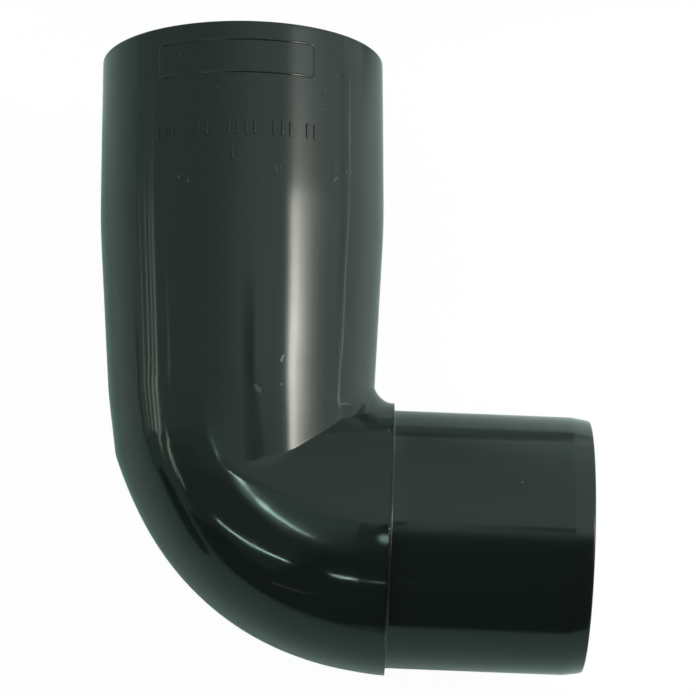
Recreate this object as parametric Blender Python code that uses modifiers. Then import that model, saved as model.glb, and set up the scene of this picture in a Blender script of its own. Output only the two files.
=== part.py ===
"""A bend for a round rainwater downpipe, moulded in one piece.

A plain socket takes the pipe from above, the bend turns the run by 87.5
degrees, and a spigot with a shoulder enters the next fitting. The throat side
of the bend is the mitre of the two straight tubes, and the heel side is a
round sweep, as two cores drawn straight out of the two ends leave them.

The bend lies on its side, as it comes to rest. The socket opens towards +Y
and the spigot points along +X. The origin is the middle of the bottom of its
bounding box.
"""

import math

import bmesh
import bpy
from mathutils import Matrix, Vector

MM = 0.001

# Pipe and angle
PIPE_DIAMETER = 53.0 * MM
BEND_ANGLE = math.radians(87.5)

# Socket, measured from its mouth down
SOCKET_CLEARANCE = 0.35 * MM
SOCKET_WALL = 3.1 * MM
MOUTH_WALL = 2.85 * MM
SOCKET_DEPTH = 41.0 * MM
MOUTH_TAPER_LENGTH = 20.0 * MM
BARREL_STRAIGHT_LENGTH = 14.0 * MM
MOUTH_EDGE_ROUND = 0.7 * MM
MOUTH_LEAD_LENGTH = 3.0 * MM
MOUTH_LEAD_WIDTH = 0.6 * MM
STOP_WIDTH = 1.2 * MM
NECK_LENGTH = 29.8 * MM

# Bend
BODY_WALL = 3.05 * MM
WAIST_DRAW = 0.4 * MM
WAIST_ANGLE = math.radians(28.0)
THROAT_RADIUS = 4.0 * MM
THROAT_FILLET = 3.4 * MM
THROAT_FILLET_SPREAD = math.radians(38.0)

# Shoulder and spigot
SHOULDER_HEIGHT = 1.7 * MM
SHOULDER_LAND = 0.7 * MM
SHOULDER_FLARE = 0.3 * MM
SHOULDER_EDGE_ROUND = 0.3 * MM
SPIGOT_WALL = 1.8 * MM
SPIGOT_LENGTH = 40.1 * MM
SPIGOT_LEAD_LENGTH = 4.0 * MM
SPIGOT_LEAD_DROP = 0.7 * MM
SPIGOT_EDGE_ROUND = 0.5 * MM

# Fineness of the faceted skin
SEGMENTS = 60
BEND_STATIONS = 20
ROUND_STEPS = 3
WELD_DISTANCE = 0.01 * MM

# Sizes that follow from the driving ones
SPIGOT_RADIUS = PIPE_DIAMETER / 2
FLOW_RADIUS = SPIGOT_RADIUS - SPIGOT_WALL
BORE_RADIUS = PIPE_DIAMETER / 2 + SOCKET_CLEARANCE
BARREL_RADIUS = BORE_RADIUS + SOCKET_WALL
MOUTH_RADIUS = BORE_RADIUS + MOUTH_WALL
BODY_RADIUS = FLOW_RADIUS + BODY_WALL
LIP_RADIUS = SPIGOT_RADIUS + SHOULDER_HEIGHT
SHOULDER_RADIUS = LIP_RADIUS - SHOULDER_FLARE
SWEEP_RADIUS = THROAT_RADIUS + BODY_RADIUS
SOCKET_LENGTH = SOCKET_DEPTH + NECK_LENGTH


def clear_scene():
    """Remove every object of the scene."""
    for item in list(bpy.data.objects):
        bpy.data.objects.remove(item, do_unlink=True)


def new_collection(name):
    """Return a new collection linked to the scene."""
    collection = bpy.data.collections.new(name)
    bpy.context.scene.collection.children.link(collection)
    return collection


def rounded_corner(centre, radius, start_degrees, end_degrees):
    """Points of an arc about centre, both ends included."""
    points = []
    for step in range(ROUND_STEPS + 1):
        turn = math.radians(start_degrees + (end_degrees - start_degrees) * step / ROUND_STEPS)
        points.append((centre[0] + radius * math.cos(turn), centre[1] + radius * math.sin(turn)))
    return points


def socket_profile():
    """Radius and height of the socket's section, up the outside and down the bore."""
    top = SOCKET_LENGTH
    barrel_top = top - MOUTH_TAPER_LENGTH
    barrel_foot = barrel_top - BARREL_STRAIGHT_LENGTH
    edge = (MOUTH_RADIUS - MOUTH_EDGE_ROUND, top - MOUTH_EDGE_ROUND)
    outside = [(BODY_RADIUS, 0.0), (BARREL_RADIUS, barrel_foot), (BARREL_RADIUS, barrel_top)]
    rim = rounded_corner(edge, MOUTH_EDGE_ROUND, 0.0, 90.0)
    bore = [
        (BORE_RADIUS + MOUTH_LEAD_WIDTH, top),
        (BORE_RADIUS, top - MOUTH_LEAD_LENGTH),
        (BORE_RADIUS, top - SOCKET_DEPTH),
        (BORE_RADIUS - STOP_WIDTH, top - SOCKET_DEPTH),
        (FLOW_RADIUS, 0.0),
    ]
    return outside + rim + bore


def spigot_profile():
    """Radius and height of the spigot's section, from the bend's end outwards and back."""
    end = SHOULDER_LAND + SPIGOT_LENGTH
    lip = (LIP_RADIUS - SHOULDER_EDGE_ROUND, SHOULDER_LAND - SHOULDER_EDGE_ROUND)
    tip_radius = SPIGOT_RADIUS - SPIGOT_LEAD_DROP
    tip = (tip_radius - SPIGOT_EDGE_ROUND, end - SPIGOT_EDGE_ROUND)
    shoulder = [(SHOULDER_RADIUS, 0.0)] + rounded_corner(lip, SHOULDER_EDGE_ROUND, 0.0, 90.0)
    outside = [(SPIGOT_RADIUS, SHOULDER_LAND), (SPIGOT_RADIUS, end - SPIGOT_LEAD_LENGTH)]
    nose = rounded_corner(tip, SPIGOT_EDGE_ROUND, 0.0, 90.0)
    bore = [(FLOW_RADIUS, end), (FLOW_RADIUS, 0.0)]
    return shoulder + outside + nose + bore


def turned_mesh(name, profile, placement):
    """Turn a profile about its own Z axis with a Screw modifier and place the mesh."""
    mesh = bpy.data.meshes.new(name)
    points = [(radius, 0.0, height) for radius, height in profile]
    mesh.from_pydata(points, [(i, i + 1) for i in range(len(points) - 1)], [])
    item = bpy.data.objects.new(name, mesh)
    bpy.context.scene.collection.objects.link(item)
    screw = item.modifiers.new("turn", "SCREW")
    screw.axis = "Z"
    screw.angle = math.tau
    screw.steps = SEGMENTS
    screw.render_steps = SEGMENTS
    screw.use_merge_vertices = True
    screw.merge_threshold = WELD_DISTANCE
    bpy.context.view_layer.update()
    turned = bpy.data.meshes.new_from_object(item.evaluated_get(bpy.context.evaluated_depsgraph_get()))
    turned.transform(placement)
    bpy.data.objects.remove(item, do_unlink=True)
    return turned


def outward(theta):
    """Direction from the bend's centre towards the heel at a sweep angle."""
    return Vector((-math.cos(theta), -math.sin(theta), 0.0))


def end_placement(theta, along):
    """Place a turned end: its X towards the heel, its Z along the tube."""
    heel = outward(theta)
    side = along.cross(heel)
    origin = heel * SWEEP_RADIUS
    return Matrix((
        (heel.x, side.x, along.x, origin.x),
        (heel.y, side.y, along.y, origin.y),
        (heel.z, side.z, along.z, origin.z),
        (0.0, 0.0, 0.0, 1.0),
    ))


def ease(share):
    """A smooth step from 0 to 1."""
    share = min(max(share, 0.0), 1.0)
    return share * share * (3.0 - 2.0 * share)


def body_radius(theta):
    """Outer tube radius: it narrows to the waist and widens to the shoulder."""
    waist = BODY_RADIUS - WAIST_DRAW
    if theta < WAIST_ANGLE:
        return BODY_RADIUS + (waist - BODY_RADIUS) * ease(theta / WAIST_ANGLE)
    share = (theta - WAIST_ANGLE) / (BEND_ANGLE - WAIST_ANGLE)
    return waist + (SHOULDER_RADIUS - waist) * ease(share)


def bore_radius(theta):
    """Inner tube radius, the same all round the bend."""
    return FLOW_RADIUS


def mitre_distance(theta, distance, fillet):
    """Distance from the bend's centre to the mitred tubes, with the corner filleted.

    The two straight tubes are at the given distance from the centre, and they
    meet in the plane that halves the bend.
    """
    half = BEND_ANGLE / 2
    fillet = min(fillet, distance)
    from_end = min(theta, BEND_ANGLE - theta)
    tangent = math.atan((distance - fillet) * math.tan(half) / distance)
    if fillet <= 0.0 or from_end <= tangent:
        return distance / math.cos(from_end)
    middle = (distance - fillet) / math.cos(half)
    turn = half - from_end
    return middle * math.cos(turn) + math.sqrt(max(fillet**2 - (middle * math.sin(turn)) ** 2, 0.0))


def throat_fillet(phi):
    """Fillet of the mitre, largest in the throat and fading out round the tube."""
    away = math.pi - phi
    return THROAT_FILLET * ease(1.0 - away / THROAT_FILLET_SPREAD)


def section(theta, radius):
    """Section of the bend at a sweep angle: heel arc, then the mitred throat side."""
    from_end = min(theta, BEND_ANGLE - theta)
    reach = SWEEP_RADIUS * (1.0 - math.cos(from_end)) / (1.0 + math.cos(from_end))
    meet = math.acos(min(reach / radius, 1.0))
    quarter = SEGMENTS // 4
    half_ring = []
    for step in range(2 * quarter + 1):
        if step <= quarter:
            phi = meet * step / quarter
            distance = SWEEP_RADIUS + radius * math.cos(phi)
        else:
            phi = math.pi - meet * (2 * quarter - step) / quarter
            distance = mitre_distance(theta, SWEEP_RADIUS + radius * math.cos(phi), throat_fillet(phi))
        half_ring.append((distance, radius * math.sin(phi)))
    ring = half_ring + [(distance, -height) for distance, height in half_ring[-2:0:-1]]
    heel = outward(theta)
    return [heel * distance + Vector((0.0, 0.0, height)) for distance, height in ring]


def add_bend_skin(shell, radius_at):
    """Loft one skin of the bend through its sections."""
    rings = []
    for station in range(BEND_STATIONS + 1):
        theta = BEND_ANGLE * station / BEND_STATIONS
        rings.append([shell.verts.new(point) for point in section(theta, radius_at(theta))])
    for first, second in zip(rings, rings[1:]):
        for index in range(SEGMENTS):
            after = (index + 1) % SEGMENTS
            shell.faces.new((first[index], first[after], second[after], second[index]))


def bend_mesh(name):
    """Join the turned socket and spigot to the two skins of the bend."""
    socket_axis = Vector((0.0, 1.0, 0.0))
    spigot_axis = Vector((math.sin(BEND_ANGLE), -math.cos(BEND_ANGLE), 0.0))
    shell = bmesh.new()
    shell.from_mesh(turned_mesh("socket", socket_profile(), end_placement(0.0, socket_axis)))
    shell.from_mesh(turned_mesh("spigot", spigot_profile(), end_placement(BEND_ANGLE, spigot_axis)))
    add_bend_skin(shell, body_radius)
    add_bend_skin(shell, bore_radius)
    bmesh.ops.remove_doubles(shell, verts=shell.verts, dist=WELD_DISTANCE)
    bmesh.ops.recalc_face_normals(shell, faces=shell.faces)
    mesh = bpy.data.meshes.new(name)
    shell.to_mesh(mesh)
    shell.free()
    return mesh


def rest_on_ground(mesh):
    """Move the mesh so that the origin is the middle of its box's bottom."""
    lowest = Vector([min(vertex.co[axis] for vertex in mesh.vertices) for axis in range(3)])
    highest = Vector([max(vertex.co[axis] for vertex in mesh.vertices) for axis in range(3)])
    middle = (lowest + highest) / 2
    mesh.transform(Matrix.Translation((-middle.x, -middle.y, -lowest.z)))


def plastic(name, colour, roughness):
    """A plain semi-gloss plastic."""
    material = bpy.data.materials.new(name)
    material.use_nodes = True
    shader = material.node_tree.nodes["Principled BSDF"]
    shader.inputs["Base Color"].default_value = (*colour, 1.0)
    shader.inputs["Roughness"].default_value = roughness
    shader.inputs["Metallic"].default_value = 0.0
    return material


def build():
    """Model the bend."""
    clear_scene()
    parts = new_collection("downpipe_bend")
    mesh = bend_mesh("downpipe_bend")
    rest_on_ground(mesh)
    mesh.materials.append(plastic("anthracite_plastic", (0.028, 0.037, 0.034), 0.35))
    mesh.shade_smooth()
    mesh.set_sharp_from_angle(angle=math.radians(30.0))
    parts.objects.link(bpy.data.objects.new("downpipe_bend", mesh))


build()
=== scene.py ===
"""The looks of a moulded plastic downpipe bend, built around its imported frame.

The bend lies on its side on a pale floor. Its shell is lofted again here with
a fine skin, because a dark gloss plastic shows every flat of a coarse one.
The raised marks that the mould leaves on the socket are pieces of their own.
All sizes are in metres, in the row's frame.
"""

import logging
import math
from dataclasses import dataclass, field
from enum import Enum
from typing import Callable, Sequence

import bmesh
import bpy
from mathutils import Matrix, Vector

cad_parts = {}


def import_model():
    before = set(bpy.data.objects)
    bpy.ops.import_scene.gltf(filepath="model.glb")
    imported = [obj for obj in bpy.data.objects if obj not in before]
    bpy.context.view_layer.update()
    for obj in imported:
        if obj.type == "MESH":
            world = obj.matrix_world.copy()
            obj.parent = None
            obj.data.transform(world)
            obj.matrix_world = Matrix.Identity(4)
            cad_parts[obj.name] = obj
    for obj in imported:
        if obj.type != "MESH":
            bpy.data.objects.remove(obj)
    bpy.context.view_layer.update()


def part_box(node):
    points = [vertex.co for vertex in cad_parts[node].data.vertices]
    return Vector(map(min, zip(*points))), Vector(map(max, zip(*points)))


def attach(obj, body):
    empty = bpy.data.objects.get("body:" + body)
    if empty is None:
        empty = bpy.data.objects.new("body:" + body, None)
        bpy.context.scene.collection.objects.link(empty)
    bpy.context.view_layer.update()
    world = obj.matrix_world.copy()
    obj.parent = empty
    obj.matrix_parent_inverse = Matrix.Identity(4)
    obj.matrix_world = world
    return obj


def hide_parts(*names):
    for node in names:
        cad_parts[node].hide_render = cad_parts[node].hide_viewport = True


MM = 0.001
NODE = "downpipe_bend"
BODY = "root"
LOG = logging.getLogger("downpipe_bend")

Pair = tuple[float, float]
Profile = list[Pair]
Triple = tuple[float, float, float]
Outline = tuple[list[Triple], list[tuple[int, ...]]]


def ease(share: float) -> float:
    """Return a smooth step from 0 to 1."""
    share = min(max(share, 0.0), 1.0)
    return share * share * (3.0 - 2.0 * share)


def through(angle: float, zone: Pair) -> float:
    """Return how far an angle is through a zone given in degrees, eased from 0 to 1."""
    return ease((math.degrees(angle) - zone[0]) / (zone[1] - zone[0]))


def soft_ramp(value: float, softness: float) -> float:
    """Return a ramp that is 0 below zero and the value above it, with a soft corner.

    Args:
        value: Distance past the corner.
        softness: Length over which the ramp starts.

    Returns:
        The ramp's height.
    """
    share = value / softness
    if share > 30.0:
        return value
    return softness * math.log1p(math.exp(share))


def blend_least(first: float, second: float, width: float) -> float:
    """Return the smaller of two lengths, with a round change where they differ by less than a width."""
    share = max(width - abs(first - second), 0.0) / width
    return min(first, second) - share * share * width / 4.0


def new_object(
    name: str, points: Sequence[Vector], edges: Sequence = (), faces: Sequence = ()
) -> bpy.types.Object:
    """Make a mesh object and put it in the scene.

    Args:
        name: The object's name.
        points: Its points.
        edges: Its loose edges, as numbers of points.
        faces: Its faces, as numbers of points.

    Returns:
        The object.
    """
    mesh = bpy.data.meshes.new(name)
    mesh.from_pydata([tuple(point) for point in points], edges, faces)
    item = bpy.data.objects.new(name, mesh)
    bpy.context.scene.collection.objects.link(item)
    return item


@dataclass(frozen=True)
class Layout:
    """Where the bend lies, worked out from the frame's box and its driving sizes."""

    barrel_radius: float = 29.95 * MM
    sweep_radius: float = 31.75 * MM
    socket_length: float = 70.8 * MM
    bend_angle: float = math.radians(87.5)
    low: Vector = field(default_factory=lambda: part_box(NODE)[0])
    high: Vector = field(default_factory=lambda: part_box(NODE)[1])

    @property
    def mouth(self) -> Vector:
        """Middle of the socket's mouth."""
        return Vector((self.low.x + self.barrel_radius, self.high.y, (self.low.z + self.high.z) / 2))

    @property
    def centre(self) -> Vector:
        """Centre that the bend turns about."""
        return self.mouth + Vector((self.sweep_radius, -self.socket_length, 0.0))

    def on_sweep(self, theta: float, turn: float, reach: float) -> Vector:
        """Return the point that lies at a reach from the bend's centre line.

        Args:
            theta: Sweep angle from the socket's end of the bend.
            turn: Angle round the section, 0 at the heel.
            reach: Distance from the centre line.

        Returns:
            The point.
        """
        along = self.sweep_radius + reach * math.cos(turn)
        outward = Vector((-math.cos(theta), -math.sin(theta), 0.0))
        return self.centre + outward * along + Vector((0.0, 0.0, reach * math.sin(turn)))


@dataclass
class BendShell:
    """The whole moulded wall: socket, bend, shoulder and spigot.

    A zone is a pair of angles in degrees, between which one shape takes over.
    """

    layout: Layout
    segments: int = 224
    socket_steps: int = 70
    bend_stations: int = 168
    station_crowding: float = 1.3
    last_station: float = 1.997
    inner_stations: int = 42
    mouth_radius: float = 29.93 * MM
    outline_growth: float = 0.10 * MM
    mouth_taper_length: float = 20.0 * MM
    mouth_taper_softness: float = 3.0 * MM
    taper_start: float = 35.4 * MM
    taper_slope: float = 0.0617
    taper_softness: float = 1.6 * MM
    mouth_edge_round: float = 0.3 * MM
    bore_radius: float = 26.85 * MM
    bore_depth: float = 41.0 * MM
    bore_round: float = 0.3 * MM
    lead_length: float = 3.0 * MM
    lead_width: float = 0.6 * MM
    lead_foot: Pair = (0.05 * MM, 0.4 * MM)
    stop_width: float = 1.2 * MM
    flow_radius: float = 24.7 * MM
    flow_run: float = math.radians(10.0)
    least_wall: float = 2.0 * MM
    shoulder_radius: float = 28.08 * MM
    shoulder_taper: float = 0.009
    lip_radius: float = 28.16 * MM
    shoulder_land: float = 0.35 * MM
    lip_round: float = 0.06 * MM
    spigot_radius: float = 26.6 * MM
    spigot_length: float = 40.45 * MM
    spigot_end_round: float = 0.2 * MM
    nose_length: float = 4.0 * MM
    nose_drop: float = 0.55 * MM
    nose_softness: float = 0.12 * MM
    nose_round: float = 0.4 * MM
    root_round: float = 0.35 * MM
    heel_reach: tuple[Pair, ...] = (
        (0.0, 28.65), (8.0, 28.22), (14.6, 27.77), (18.0, 27.54), (24.0, 27.32), (32.0, 27.32), (45.0, 27.50),
        (58.0, 27.64), (70.0, 27.66), (80.0, 27.76), (84.0, 27.92), (87.5, 28.12),
    )
    lean: float = 0.050
    lean_start: float = 1.2 * MM
    lean_softness: float = 0.8 * MM
    extra_taper: float = 0.016
    end_run: float = math.radians(8.0)
    least_blend: float = 0.001 * MM
    seam_blend: float = 0.12 * MM
    flank_blend: float = 0.13 * MM
    seam_zone: Pair = (22.0, 48.0)
    crease_blend: float = 0.25 * MM
    front_blend: float = 0.6 * MM
    front_zone: Pair = (87.0, 103.0)
    valley_zone: Pair = (58.0, 74.0)
    throat_freedom: float = 2.5 * MM
    throat_zone: Pair = (76.0, 126.0)
    throat_radius: float = 4.8 * MM
    throat_growth: float = 0.6
    fillet_start: float = math.radians(132.0)
    fillet_cut: float = 0.293
    least_fillet: float = 0.02
    flank_radius: float = 27.72 * MM
    flank_start: float = math.radians(60.0)
    flank_zone: Pair = (14.0, 54.0)
    crease_search: Pair = (20.0, 60.0)
    sharp_angle: float = math.radians(38.0)

    @property
    def turns(self) -> list[float]:
        """Angles of a ring's points."""
        return [math.tau * index / self.segments for index in range(self.segments)]

    def barrel_radius_at(self, depth: float) -> float:
        """Work out the socket's outer radius.

        Args:
            depth: Depth below its mouth.

        Returns:
            The radius.
        """
        widening = (self.layout.barrel_radius - self.mouth_radius) / self.mouth_taper_length
        flare = widening * soft_ramp(self.mouth_taper_length - depth, self.mouth_taper_softness)
        taper = self.taper_slope * soft_ramp(depth - self.taper_start, self.taper_softness)
        return self.layout.barrel_radius + self.outline_growth - flare - taper

    def body_radius_at(self, theta: float) -> float:
        """Work out the radius of the bend's round sweep, a smooth curve through its stations.

        Args:
            theta: Sweep angle from the socket's end of the bend.

        Returns:
            The radius.
        """
        degrees = math.degrees(theta)
        stations = self.heel_reach
        for index in range(len(stations) - 1):
            (start, first), (end, second) = stations[index], stations[index + 1]
            if degrees <= end:
                break
        before = stations[max(index - 1, 0)]
        after = stations[min(index + 2, len(stations) - 1)]
        span = end - start
        slope_in = (second - before[1]) / (end - before[0]) * span
        slope_out = (after[1] - first) / (after[0] - start) * span
        share = min(max((degrees - start) / span, 0.0), 1.0)
        square, cube = share * share, share**3
        radius = first * (2 * cube - 3 * square + 1) + slope_in * (cube - 2 * square + share)
        radius += second * (3 * square - 2 * cube) + slope_out * (cube - square)
        return radius * MM

    def socket_side(self, beyond: float) -> Pair:
        """Work out the socket's tube where it runs on into the bend.

        Args:
            beyond: Length beyond the start of the bend.

        Returns:
            The tube's radius and its inward shift.
        """
        run = soft_ramp(beyond - self.lean_start, self.lean_softness)
        radius = self.barrel_radius_at(self.layout.socket_length + beyond)
        return radius - self.extra_taper * run, self.lean * run

    def spigot_side(self, beyond: float) -> Pair:
        """Return radius and inward shift of the body's tube before the spigot."""
        return self.shoulder_radius - self.shoulder_taper * beyond, 0.0

    def tube_reach(self, theta: float, turn: float, tube: Callable[[float], Pair]) -> float:
        """Return how far one straight tube reaches from the bend's centre line.

        Args:
            theta: Sweep angle from the end of the bend that the tube leaves.
            turn: Angle round the section, 0 at the heel and pi in the throat.
            tube: The tube's radius and inward shift by its length into the bend.

        Returns:
            The reach, or 0 where the centre line lies outside the tube.
        """
        sweep = self.layout.sweep_radius
        lean = math.cos(theta)
        cosine, sine = math.cos(turn), math.sin(turn)
        square = (lean * cosine) ** 2 + sine**2
        reach = tube(0.0)[0]
        for _ in range(5):
            radius, shift = tube((sweep + reach * cosine) * math.sin(theta))
            start = sweep * (lean - 1.0) + shift
            half = lean * cosine * start
            constant = start**2 - radius**2
            if constant >= 0.0 or square < 1e-9:
                return 0.0
            reach = (math.sqrt(half * half - square * constant) - half) / square
        return reach

    def reach(self, theta: float, turn: float) -> float:
        """Return the skin's distance from the bend's centre line in one direction.

        The straight tubes of socket and spigot meet in a valley, filleted in the
        throat. Where the round sweep lies inside them, it takes over.

        Args:
            theta: Sweep angle from the socket's end of the bend.
            turn: Angle round the section, 0 at the heel and pi in the throat.

        Returns:
            The distance.
        """
        radius = self.body_radius_at(theta)
        socket_side = self.tube_reach(theta, turn, self.socket_side)
        spigot_side = self.tube_reach(self.layout.bend_angle - theta, turn, self.spigot_side)
        near = socket_side if theta < self.layout.bend_angle / 2 else spigot_side
        inward = ease(min(theta, self.layout.bend_angle - theta) / self.end_run)
        blend = self.crease_blend + self.front_blend * (1.0 - through(turn, self.front_zone))
        joined = -blend_least(-socket_side, -spigot_side, blend)
        if turn > self.fillet_start:
            joined += (self.filleted(turn, socket_side, spigot_side) - joined) * inward
        tubes = near + (joined - near) * through(turn, self.valley_zone)
        if theta > self.flank_start:
            radius -= max(radius - self.flank_radius, 0.0) * through(turn, self.flank_zone)
        freed = radius + self.throat_freedom * through(turn, self.throat_zone)
        seam = self.seam_blend + self.flank_blend * through(turn, self.seam_zone)
        return blend_least(freed, tubes, self.least_blend + seam * inward)

    def filleted(self, turn: float, first: float, second: float) -> float:
        """Return the reach of two tubes joined by a fillet that grows towards the throat.

        Args:
            turn: Angle round the section, past the start of the fillet.
            first: Reach of one tube.
            second: Reach of the other.

        Returns:
            The joined reach.
        """
        sweep, side = self.layout.sweep_radius, -math.cos(turn)
        share = (turn - self.fillet_start) / (math.pi - self.fillet_start)
        inner = sweep - self.shoulder_radius * side
        size = max(self.throat_radius * share**self.throat_growth / inner, self.least_fillet)
        power = math.log(0.5) / math.log(1.0 - self.fillet_cut * size)
        depth = sum((sweep - reach * side) ** -power for reach in (first, second)) ** (-1.0 / power)
        return (sweep - depth) / side

    def crease_angle(self, turn: float) -> float:
        """Find where the tubes of socket and spigot meet.

        Args:
            turn: Angle round the section.

        Returns:
            The sweep angle of their crease.
        """
        turn = max(turn, math.radians(self.valley_zone[1]))
        low, high = (math.radians(limit) for limit in self.crease_search)
        for _ in range(18):
            middle = (low + high) / 2
            spigot_side = self.tube_reach(self.layout.bend_angle - middle, turn, self.spigot_side)
            if self.tube_reach(middle, turn, self.socket_side) > spigot_side:
                low = middle
            else:
                high = middle
        return low

    def bend_rings(self) -> list[list[Vector]]:
        """Work out the bend's outside, with its middle ring along the crease.

        Returns:
            The rings.
        """
        folded = [min(turn, math.tau - turn) for turn in self.turns]
        creases = [self.crease_angle(turn) for turn in folded]
        shares = [2.0 * station / self.bend_stations for station in range(self.bend_stations)]
        rings = []
        for share in shares + [self.last_station, 2.0]:
            ring = []
            for turn, fold, crease in zip(self.turns, folded, creases):
                if share <= 1.0:
                    theta = crease * (1.0 - (1.0 - share) ** self.station_crowding)
                else:
                    rest = self.layout.bend_angle - crease
                    theta = crease + rest * (share - 1.0) ** self.station_crowding
                ring.append(self.layout.on_sweep(theta, turn, self.reach(theta, fold)))
            rings.append(ring)
        return rings

    def flow_ring(self, theta: float) -> list[Vector]:
        """Work out one ring of the bend's waterway, a wall inside the skin.

        Args:
            theta: Sweep angle from the socket's end of the bend.

        Returns:
            The ring's points.
        """
        wall = self.least_wall * ease(min(theta, self.layout.bend_angle - theta) / self.flow_run)
        ring = []
        for turn in self.turns:
            reach = min(self.flow_radius, self.reach(theta, min(turn, math.tau - turn)) - wall)
            ring.append(self.layout.on_sweep(theta, turn, reach))
        return ring

    def circle(self, theta: float, axis: Vector, radius: float, height: float) -> list[Vector]:
        """Return one ring of a straight end, at a height beyond the bend."""
        return [self.layout.on_sweep(theta, turn, radius) + axis * height for turn in self.turns]

    @staticmethod
    def corner(centre: Pair, radius: float, start: float, end: float, steps: int = 6) -> Profile:
        """Return points of an arc in a profile, from one angle in degrees to another."""
        turns = [math.radians(start + (end - start) * step / steps) for step in range(steps + 1)]
        return [(centre[0] + radius * math.cos(turn), centre[1] + radius * math.sin(turn)) for turn in turns]

    def socket_outside(self) -> Profile:
        """Work out the socket's outside, from the bend up to the rim.

        Returns:
            Radius and height of its points.
        """
        top = self.layout.socket_length
        straight = top - self.mouth_edge_round
        heights = [straight * step / self.socket_steps for step in range(1, self.socket_steps + 1)]
        points = [(self.barrel_radius_at(top - height), height) for height in heights]
        edge = (points[-1][0] - self.mouth_edge_round, straight)
        return points + self.corner(edge, self.mouth_edge_round, 0.0, 90.0)[1:]

    def socket_inside(self) -> Profile:
        """Work out the socket's bore, from the rim down to the bend.

        Returns:
            Radius and height of its points.
        """
        top, bore, edge = self.layout.socket_length, self.bore_radius, self.bore_round
        floor, stop = top - self.bore_depth, bore - self.stop_width
        lead, (foot_width, foot_height) = top - self.lead_length, self.lead_foot
        points = self.corner((bore + self.lead_width + edge, top - edge), edge, 90.0, 170.0)
        points += [(bore + foot_width, lead + foot_height), (bore, lead - foot_height)]
        points += [(bore, top - self.bore_depth * share) for share in (0.3, 0.5, 0.7, 0.9)]
        points += self.corner((bore - edge, floor + edge), edge, 0.0, -90.0, 3)
        points += self.corner((stop + edge, floor - edge), edge, 90.0, 170.0, 3)
        for share in (0.2, 0.4, 0.6, 0.8):
            points.append((stop + (self.flow_radius - stop) * share, floor * (1.0 - share)))
        return points

    def spigot_outside(self) -> Profile:
        """Work out the shoulder and the spigot's outside.

        Returns:
            Radius and height of its points.
        """
        land = self.shoulder_land
        end = land + self.spigot_length
        start = end - self.nose_length
        slope = self.nose_drop / self.nose_length
        root = (self.spigot_radius + self.root_round, land + self.root_round)
        nose = (self.spigot_radius - self.nose_drop - self.nose_round, end - self.nose_round)
        lip = (self.lip_radius - self.lip_round, land - self.lip_round)
        points = self.corner(lip, self.lip_round, 0.0, 90.0)
        points += self.corner(root, self.root_round, 270.0, 180.0, 4)
        for share in (0.1, 0.3, 0.5, 0.7, 0.9):
            points.append((self.spigot_radius, root[1] + (start - land) * share))
        for step in range(-4, 5):
            past = self.nose_softness * step
            points.append((self.spigot_radius - slope * soft_ramp(past, self.nose_softness), start + past))
        run = 0.7 * self.nose_length
        points.append((self.spigot_radius - slope * run, start + run))
        return points + self.corner(nose, self.nose_round, 10.0, 90.0)

    def spigot_inside(self) -> Profile:
        """Work out the spigot's bore, from its end to the bend.

        Returns:
            Radius and height of its points.
        """
        end, edge = self.shoulder_land + self.spigot_length, self.spigot_end_round
        points = self.corner((self.flow_radius + edge, end - edge), edge, 90.0, 180.0, 3)
        return points + [(self.flow_radius, end * share) for share in (0.75, 0.5, 0.25)]

    def rings(self) -> list[list[Vector]]:
        """Work out the wall, once round from mouth to end and back inside.

        Returns:
            Its rings in order.
        """
        angle = self.layout.bend_angle
        socket_axis, spigot_axis = Vector((0.0, 1.0, 0.0)), Vector((math.sin(angle), -math.cos(angle), 0.0))
        rings = [self.circle(0.0, socket_axis, *point) for point in reversed(self.socket_outside())]
        rings += self.bend_rings()
        for point in self.spigot_outside() + self.spigot_inside():
            rings.append(self.circle(angle, spigot_axis, *point))
        for step in range(self.inner_stations, -1, -1):
            rings.append(self.flow_ring(angle * step / self.inner_stations))
        rings += [self.circle(0.0, socket_axis, *point) for point in reversed(self.socket_inside())]
        return rings

    def build(self) -> bpy.types.Object:
        """Build the shell as one closed mesh.

        Returns:
            The shell's object, at the origin.
        """
        shell = bmesh.new()
        rings = [[shell.verts.new(point) for point in ring] for ring in self.rings()]
        for first, second in zip(rings, rings[1:] + rings[:1]):
            for index in range(self.segments):
                after = (index + 1) % self.segments
                shell.faces.new((first[index], first[after], second[after], second[index]))
        bmesh.ops.recalc_face_normals(shell, faces=shell.faces)
        item = new_object("bend_shell", ())
        shell.to_mesh(item.data)
        shell.free()
        item.data.shade_smooth()
        item.data.set_sharp_from_angle(angle=self.sharp_angle)
        return item


def run_nodes(item: bpy.types.Object, tree: bpy.types.NodeTree, values: dict[str, object]) -> None:
    """Run a Geometry Nodes tree on an object and keep its result as a plain smooth mesh.

    Args:
        item: The object that the tree starts from.
        tree: The tree.
        values: The tree's inputs by name.
    """
    modifier = item.modifiers.new("build", "NODES")
    modifier.node_group = tree
    for socket in tree.interface.items_tree:
        if socket.item_type == "SOCKET" and socket.in_out == "INPUT" and socket.name in values:
            modifier[socket.identifier] = values[socket.name]
    bpy.context.view_layer.update()
    evaluated = item.evaluated_get(bpy.context.evaluated_depsgraph_get())
    mesh = bpy.data.meshes.new_from_object(evaluated)
    item.modifiers.remove(modifier)
    item.data = mesh
    mesh.name = item.name
    mesh.shade_smooth()


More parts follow.
